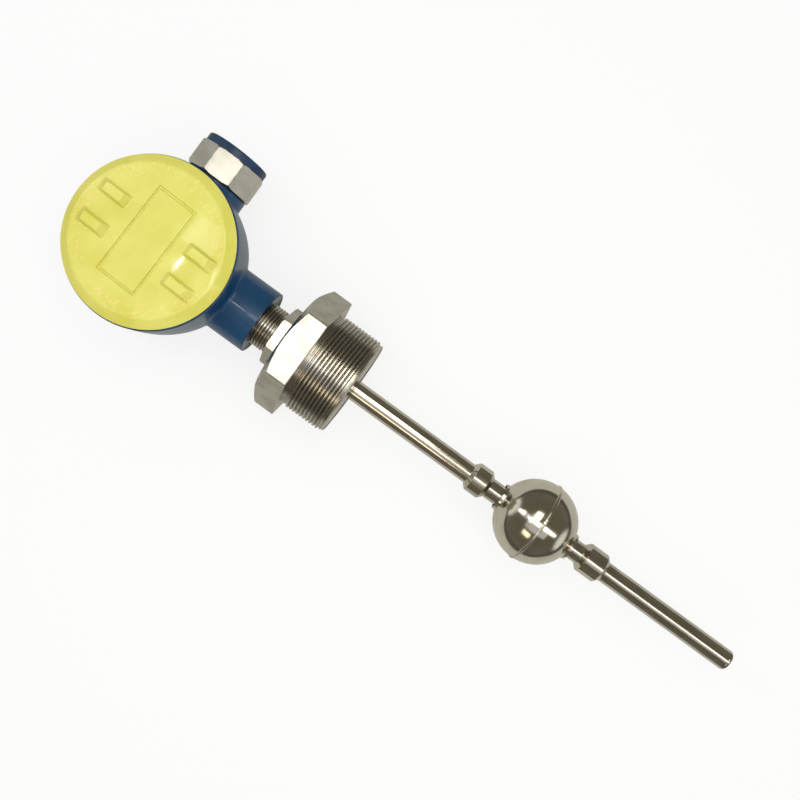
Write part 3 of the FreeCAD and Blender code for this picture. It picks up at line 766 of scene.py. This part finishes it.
def makeCollar(name, node, setup):
    low, high = span(node)
    outer = high.x
    inner = span("stem_tube")[1].x
    chamfer, edge = setup["chamfer"], setup["edge"]
    body = soften([
        (inner, low.z, 0), (outer - chamfer, low.z, edge), (outer, low.z + chamfer, edge),
        (outer, high.z - chamfer, edge), (outer - chamfer, high.z, edge), (inner, high.z, 0),
    ])
    obj = objectFrom(name, lathe(body, 96))
    # the set screw's hole, with a broken edge, goes in from behind
    bore = setup["screwDiameter"] / 2
    mouth = bore + setup["screwMouth"]
    drill = lathe([(0, inner - 2), (bore, inner - 2), (bore, outer - setup["screwMouth"]),
                   (mouth, outer + 0.05), (mouth, outer + 2), (0, outer + 2)], 32)
    turn = Matrix.Translation((0, 0, (low.z + high.z) / 2)) @ Matrix.Rotation(math.radians(-90), 4, "X")
    bmesh.ops.transform(drill, matrix=turn, verts=drill.verts)
    bmesh.ops.recalc_face_normals(drill, faces=drill.faces)
    cutter = objectFrom(name + "Drill", drill)
    cut = obj.modifiers.new("hole", "BOOLEAN")
    cut.operation = "DIFFERENCE"
    cut.object = cutter
    cut.solver = "EXACT"
    bake(obj)
    bpy.data.objects.remove(cutter)
    settle(obj, "head_and_stem", "polishedSteel", [node])


makeStem(stem)
makeCollar("upperStopCollar", "upper_stop_collar", collar)
makeCollar("lowerStopCollar", "lower_stop_collar", collar)
print("stage: stem made")


ball = {
    "wall": 0.8,
    "arcSteps": 48,
    "segments": 160,
    "beadRise": 0.7,
    "beadHalfWidth": 1.05,
    "ripples": 110.0,
    "rippleDepth": 0.10,
    "collarRise": 0.9,      # weld round the guide tube at each pole
    "guideBore": 7.2,
    "guideOuter": 8.0,
}


def makeFloatShell(name, node, sign, setup):
    low, high = span("float_guide_tube")
    centre = (low.z + high.z) / 2
    outer = span(node)[1].x
    inner = outer - setup["wall"]
    start = math.asin(setup["guideOuter"] / outer)
    steps = setup["arcSteps"]
    angles = [start + (math.pi / 2 - start) * k / steps for k in range(steps + 1)]
    arc = [(outer * math.sin(a), centre + sign * outer * math.cos(a)) for a in angles]
    back = [(inner * math.sin(a), centre + sign * inner * math.cos(a)) for a in reversed(angles)]
    settle(objectFrom(name, lathe(arc + back, setup["segments"])), "float", "polishedSteel",
           [node], crease=50.0)


bead = {
    "lean": 0.35,       # how far each ripple lags at the bead's edges, in ripples
    "wander": 0.15,     # uneven rise and width along the seam
    "spread": 0.25,
    "sunk": 0.15,
    "join": 0.002,
}


def beadTree(setup):
    # weld bead: a ring whose top rises and falls where the pool froze step by step
    tree = bpy.data.node_groups.new("weldBead", "GeometryNodeTree")
    for name in ("Radius", "Rise", "Half Width", "Ripples", "Ripple Depth", "Height"):
        tree.interface.new_socket(name, in_out="INPUT", socket_type="NodeSocketFloat")
    tree.interface.new_socket("Seed", in_out="INPUT", socket_type="NodeSocketInt")
    tree.interface.new_socket("Material", in_out="INPUT", socket_type="NodeSocketMaterial")
    tree.interface.new_socket("Geometry", in_out="OUTPUT", socket_type="NodeSocketGeometry")
    graph = Graph(tree)
    given = graph.add("NodeGroupInput")
    ripples = given["Ripples"]
    sizes = {"Size X": 1.0, "Size Y": 1.0, "Vertices X": ripples * 6.0 + 1.0, "Vertices Y": 10}
    strip = graph.add("GeometryNodeMeshGrid", {}, sizes)["Mesh"]
    x, y, _ = graph.split(graph.add("GeometryNodeInputPosition")["Position"])
    angle = x * (2 * math.pi)
    sweep = y * math.pi
    jitter = graph.add("ShaderNodeTexNoise", {}, {
        "Vector": graph.join(angle.maths("COSINE") * 3.0, angle.maths("SINE") * 3.0, given["Seed"]),
        "Scale": 1.0, "Detail": 2.0,
    })["Fac"]
    phase = (x * ripples + sweep.maths("COSINE") * setup["lean"] + jitter).maths("FRACT")
    lift = given["Rise"] + given["Ripple Depth"] * (phase * phase * 2.0 - 1.0)
    lift = lift + (jitter - 0.5) * setup["wander"]
    radius = given["Radius"] + sweep.maths("COSINE") * lift - setup["sunk"]
    width = given["Half Width"] + (jitter - 0.5) * setup["spread"]
    height = given["Height"] + sweep.maths("SINE") * width
    place = graph.join(radius * angle.maths("COSINE"), radius * angle.maths("SINE"), height)
    ring = graph.add("GeometryNodeSetPosition", {}, {"Geometry": strip, "Position": place})["Geometry"]
    values = {"Geometry": ring, "Distance": setup["join"]}
    ring = graph.add("GeometryNodeMergeByDistance", {}, values)["Geometry"]
    ring = graph.add("GeometryNodeRealizeInstances", {}, {"Geometry": ring})["Geometry"]
    values = {"Geometry": ring, "Material": given["Material"]}
    ring = graph.add("GeometryNodeSetMaterial", {}, values)["Geometry"]
    graph.add("NodeGroupOutput", {}, {"Geometry": ring})
    return tree


weldBead = beadTree(bead)


def makeBead(setup):
    low, high = span("float_weld_bead")
    obj = objectFrom("floatWeldBead", bmesh.new())
    grow(obj, weldBead, {
        "Radius": span("float_upper_shell")[1].x, "Height": (low.z + high.z) / 2,
        "Rise": setup["beadRise"], "Half Width": setup["beadHalfWidth"],
        "Ripples": setup["ripples"], "Ripple Depth": setup["rippleDepth"],
        "Seed": 3, "Material": finishes["polishedSteel"],
    })
    settle(obj, "float", "polishedSteel", ["float_weld_bead"], crease=60.0)


def makeGuideTube(setup):
    low, high = span("float_guide_tube")
    inner, outer = setup["guideBore"], setup["guideOuter"]
    middle = (low.z + high.z) / 2
    sphere = math.sqrt(span("float_upper_shell")[1].x ** 2 - outer ** 2)
    rise = setup["collarRise"]
    half = high.z - middle
    # each end: rounded lip, then the weld's hollow flank down on to the ball
    upper = [(inner, half, 0.2), (outer, half, 0.3), (outer + 0.15, sphere + 0.35, 0.2),
             (outer + rise, sphere - 0.45, 0.1), (outer - 0.2, sphere - 1.0, 0)]
    lower = [(x, -y, radius) for x, y, radius in reversed(upper)]
    outline = soften([(x, middle + y, radius) for x, y, radius in upper + lower])
    settle(objectFrom("floatGuideTube", lathe(outline, 96)), "float", "polishedSteel",
           ["float_guide_tube"])


makeFloatShell("floatUpperShell", "float_upper_shell", 1, ball)
makeFloatShell("floatLowerShell", "float_lower_shell", -1, ball)
makeBead(ball)
makeGuideTube(ball)
print("stage: float made")


def makeHousing():
    # the casting keeps its CAD shape; its loose triangles are joined so that light runs over its blends
    mesh = bmesh.new()
    mesh.from_mesh(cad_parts["housing"].data)
    bmesh.ops.remove_doubles(mesh, verts=mesh.verts, dist=0.002 * mm)
    bmesh.ops.scale(mesh, vec=(1 / mm, 1 / mm, 1 / mm), verts=mesh.verts)
    obj = objectFrom("headHousing", mesh)
    settle(obj, "head_and_stem", "housingPaint", ["housing"], crease=28.0)


coverShape = {
    "turn": -1.7,
    "bevelInner": 40.8,
    "rim": 1.3,
    "rimInset": 0.6,
    "bevelRound": 2.6,
    "thickness": 5.0,
    "lugInner": 18.8,
    "lugOuter": 36.8,
    "lugWidth": 7.4,
    "lugPitch": 18.9,
    "lugHeight": 4.5,
    "lugCorner": 1.2,
    "sideRun": 1.2,         # how far each face of a lug leans in over its height
    "outerRun": 4.2,
    "innerRun": 3.2,
    "lugFoot": 0.8,
    "lugTop": 0.7,
    "panelLength": 52.6,
    "panelWidth": 23.0,
    "panelCorner": 0.8,
    "grooveWidth": 1.6,
    "grooveDepth": 1.1,
    "sealInner": 39.05,
    "sealOuter": 42.15,
    "sealDepth": 1.85,
    "skirt": 38.42,
    "skirtWall": 4.0,
    "threadPitch": 2.0,
    "threadDepth": 1.0,
    "threadRoom": (0.6, 1.4),   # plain lengths of the skirt: above the thread, and in all
    "threadSteps": 120.0,
}


def rectangleLoop(x0, x1, y0, y1, radius, steps=4):
    # rounded rectangle; each point also carries the outward normal of its place
    loop = []
    for k, (x, y) in enumerate([(x1, y1), (x0, y1), (x0, y0), (x1, y0)]):
        centre = Vector((x - math.copysign(radius, x - (x0 + x1) / 2),
                         y - math.copysign(radius, y - (y0 + y1) / 2)))
        for step in range(steps + 1):
            angle = math.pi / 2 * (k + step / steps)
            normal = Vector((math.cos(angle), math.sin(angle)))
            loop.append((centre + normal * radius, normal))
    return loop


def lugLoops(setup, x, side, face):
    # walls of a lug as (inset, height) points with a soft foot and a soft top
    def wall(run):
        height = setup["lugHeight"]
        points = [(-3.0, 0, 0), (0, 0, setup["lugFoot"]),
                  (run, height, setup["lugTop"]), (run + 3.0, height, 0)]
        return soften(points, 4, False)[1:-1]

    sideWall, outerWall, innerWall = wall(setup["sideRun"]), wall(setup["outerRun"]), wall(setup["innerRun"])
    half = setup["lugWidth"] / 2
    ends = sorted((side * setup["lugInner"], side * setup["lugOuter"]))
    loops = []
    for flank, far, near in zip(sideWall, outerWall, innerWall):
        top, bottom = (far, near) if side > 0 else (near, far)
        radius = max(0.4, setup["lugCorner"] - flank.x)
        loop = rectangleLoop(x - half + flank.x, x + half - flank.x,
                             ends[0] + bottom.x, ends[1] - top.x, radius)
        loops.append([Vector((*point, face + flank.y * normal.x ** 2 + (top if normal.y > 0 else bottom).y
                              * normal.y ** 2)) for point, normal in loop])
    return loops


def panelLoops(setup, face):
    depth, width = setup["grooveDepth"], setup["grooveWidth"]
    section = soften([
        (-2.0, 0, 0), (0, 0, 0.3), (0.3, -depth, 0.2), (width - 0.3, -depth, 0.2), (width, 0, 0.3),
        (width + 2, 0, 0),
    ], 3, False)[1:-1]
    halfX, halfY = (setup["panelLength"] + width) / 2, (setup["panelWidth"] + width) / 2
    loops = []
    for point in section:
        x, y = halfX - point.x, halfY - point.x
        radius = max(0.3, setup["panelCorner"] - point.x * 0.3)
        loops.append([Vector((*spot, face + point.y)) for spot, _ in rectangleLoop(-x, x, -y, y, radius)])
    return loops


def loopEdges(mesh, row):
    return [mesh.edges.get((row[k - 1], row[k])) for k in range(len(row))]


def makeCover(setup):
    low, high = span("cover")
    face = -low.y - setup["lugHeight"]
    under = face - setup["thickness"]
    radius = high.x
    root = setup["skirt"] - setup["threadDepth"]
    end = -high.y
    inner = setup["skirt"] - setup["skirtWall"]
    sealInner, sealOuter = setup["sealInner"], setup["sealOuter"]
    sealFloor = under + setup["sealDepth"]
    # the last point only guides the round before it; the middle of the face is filled further on
    outline = soften([
        (0, under, 0), (inner, under, 0.8), (inner, end, 0.3), (root - 0.4, end, 0.3), (root, end + 0.6, 0.2),
        (root, under, 0.3), (sealInner, under, 0.15), (sealInner, sealFloor, 0.2),
        (sealOuter, sealFloor, 0.2), (sealOuter, under, 0.15),
        (radius, under, 0.25), (radius, under + setup["rim"] - 0.5, 0.3),
        (radius - setup["rimInset"], under + setup["rim"], 0.4),
        (setup["bevelInner"], face, setup["bevelRound"]), (10.0, face, 0),
    ], 4, False)[:-1]
    mesh = bmesh.new()
    like = evenAngles(180)
    edges = loopEdges(mesh, skin(mesh, [circle(x, y, like) for x, y in outline])[-1])
    for side in (-1, 1):
        for x in (-setup["lugPitch"] / 2, setup["lugPitch"] / 2):
            rows = skin(mesh, lugLoops(setup, x, side, face))
            mesh.faces.new(rows[-1])
            edges += loopEdges(mesh, rows[0])
    rows = skin(mesh, panelLoops(setup, face))
    mesh.faces.new(rows[-1])
    edges += loopEdges(mesh, rows[0])
    bmesh.ops.triangle_fill(mesh, use_beauty=True, use_dissolve=False, edges=edges, normal=(0, 0, 1))
    obj = objectFrom("headCover", mesh)
    above, plain = setup["threadRoom"]
    grow(obj, helicalThread, {
        "Crest Radius": setup["skirt"], "Depth": setup["threadDepth"], "Pitch": setup["threadPitch"],
        "Start": under - above, "Turns": (under - plain - end) / setup["threadPitch"],
        "Steps": setup["threadSteps"], "End": end, "End Radius": root,
        "Material": finishes["coverPaint"],
    })
    turn = Matrix.Rotation(math.radians(setup["turn"]), 4, "Z")
    settle(obj, "cover", "coverPaint", ["cover"], onHead @ turn)


entry = {
    "flats": 38.2,
    "turn": 278.5,
    "corner": 0.6,
    "edge": 0.3,
    "bevelRadius": 19.5,
    "bevelSlope": 0.67,
    "bore": 10.0,
    "thread": 12.5,
    "threadChamfer": 1.0,
    "boreChamfer": 0.5,
}


def makeEntryAdapter(setup):
    low, high = span("entry_adapter")
    base = span("entry_gasket")[1].x
    outline = polygonOutline(8, setup["flats"], setup["turn"], setup["corner"])
    loops = bevelledPrism(outline, base, high.x, setup["bevelRadius"], setup["bevelSlope"],
                          setup["edge"], True)
    bore, thread, chamfer = setup["bore"], setup["thread"], setup["threadChamfer"]
    inside = [(bore + setup["boreChamfer"], high.x), (bore, high.x - setup["boreChamfer"]), (bore, low.x),
              (thread - chamfer, low.x), (thread, low.x + chamfer), (thread, base)]
    mesh = bmesh.new()
    skin(mesh, loops + [circle(x, y, outline) for x, y in inside], wrap=True)
    settle(objectFrom("entryAdapter", mesh), "head_and_stem", "nickelPlate",
           ["entry_adapter"], onEntry)


cap = {
    "round": 1.1,
    "dishRadius": 14.6,
    "dishDepth": 1.2,
    "dishRun": 1.2,
    "floorWall": 1.6,
    "spigot": 9.95,
    "spigotWall": 2.0,
}


def makeEntryCap(setup):
    low, high = span("entry_cap")
    seat = span("entry_adapter")[1].x
    radius, dish, spigot = high.y, setup["dishRadius"], setup["spigot"]
    floor = high.x - setup["dishDepth"]
    inner, under = spigot - setup["spigotWall"], floor - setup["floorWall"]
    outline = soften([
        (0, floor, 0), (dish - setup["dishRun"], floor, 0.5), (dish, high.x, 0.4),
        (radius, high.x, setup["round"]), (radius, seat, 0.3), (spigot, seat, 0.2),
        (spigot, low.x, 0.4), (inner, low.x, 0.3), (inner, under, 0.6), (0, under, 0),
    ], 5, False)
    settle(objectFrom("entryCap", lathe(outline, 144)), "entry_cap", "plugPlastic",
           ["entry_cap"], onEntry)


gasket = {
    "inner": 12.5,
    "edge": 0.35,
}


def makeGasket(setup):
    low, high = span("entry_gasket")
    outer, inner, edge = high.y, setup["inner"], setup["edge"]
    outline = soften([(inner, low.x, 0), (outer, low.x, edge), (outer, high.x, edge), (inner, high.x, 0)])
    settle(objectFrom("entryGasket", lathe(outline, 96)), "head_and_stem", "blackRubber",
           ["entry_gasket"], onEntry)


makeHousing()
makeCover(coverShape)
makeEntryAdapter(entry)
makeEntryCap(cap)
makeGasket(gasket)
print("stage: head made")


# CAD nodes that keep their shape and take a finish
kept = {
    "cover_seal": "blackRubber",
    "collar_set_screws": "zincSteel",
    "float_magnet": "magnetFerrite",
    "float_magnet_clips": "zincSteel",
    "reed_glass": "switchGlass",
    "reed_blades": "zincSteel",
    "reed_carrier": "stripBoard",
    "lead_wire_left": "wireBrown",
    "lead_wire_right": "wireBlue",
    "stem_potting": "pottingResin",
    "terminal_base": "terminalPlastic",
    "terminal_clamps": "platedBrass",
    "terminal_screws": "zincSteel",
    "terminal_mount_screws": "zincSteel",
    "earth_washer": "zincSteel",
    "earth_screw": "zincSteel",
}

for node, finishName in kept.items():
    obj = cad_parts[node]
    if not obj.material_slots:
        obj.data.materials.append(None)
    for materialSlot in obj.material_slots:
        materialSlot.material = finishes[finishName]
